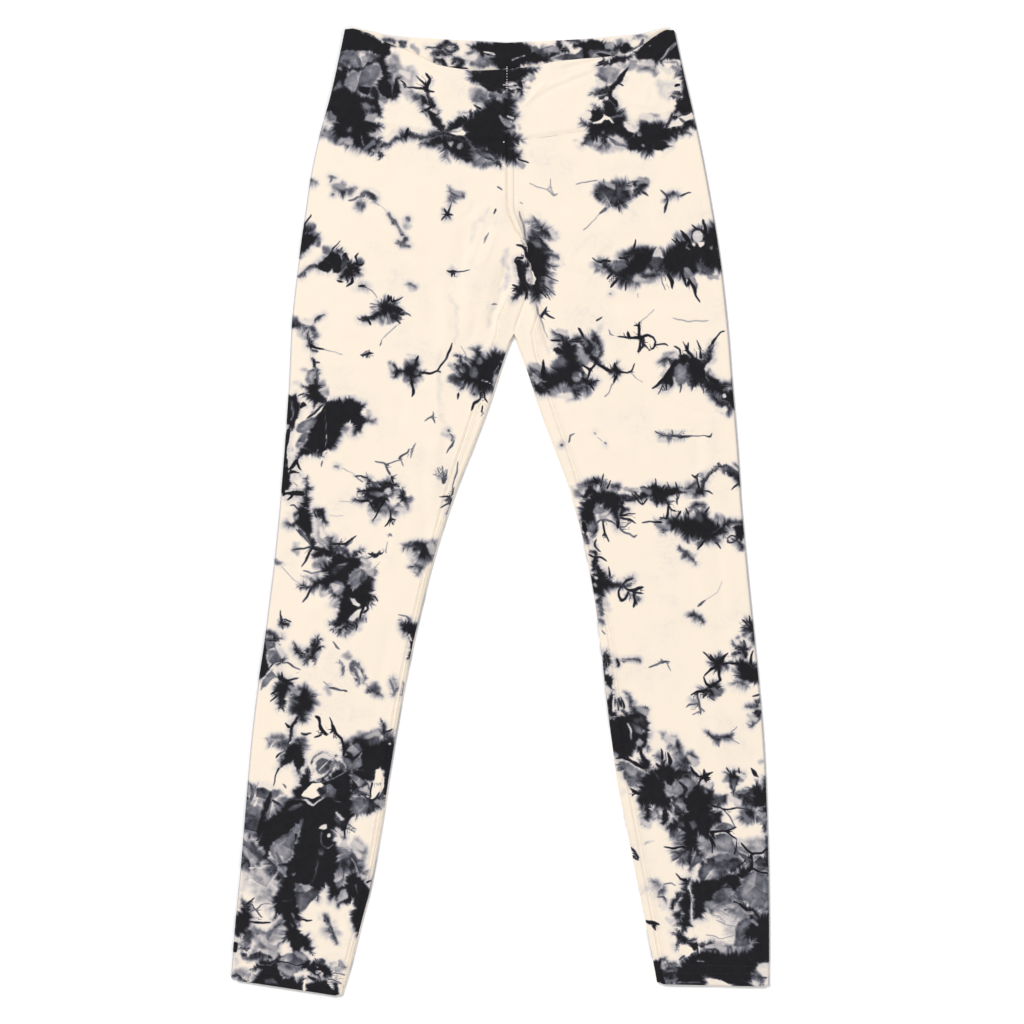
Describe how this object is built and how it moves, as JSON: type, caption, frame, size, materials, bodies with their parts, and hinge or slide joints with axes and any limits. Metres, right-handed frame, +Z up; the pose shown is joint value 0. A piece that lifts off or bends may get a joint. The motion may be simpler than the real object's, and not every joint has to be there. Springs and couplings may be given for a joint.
{
  "type": "leggings",
  "caption": "Full-length knit leggings laid flat, with a wide doubled waistband, one-panel tapered legs and turned hems.",
  "frame": {"origin": "on the surface the garment rests on, under the middle of its outline", "axes": "+X to the wearer's left, +Y towards the waist, +Z up, out of the garment's front"},
  "size_m": [0.538, 0.9686, 0.0053],
  "materials": {
    "leg_knit": "matt cream knit with a charcoal crumple tie-dye, heaviest on the lower legs",
    "waistband_knit": "the same knit, doubled, with large charcoal patches"
  },
  "bodies": {
    "root": {"leg_right": "leg_knit", "leg_left": "leg_knit", "waistband_right": "waistband_knit", "waistband_left": "waistband_knit"}
  },
  "joints": []
}
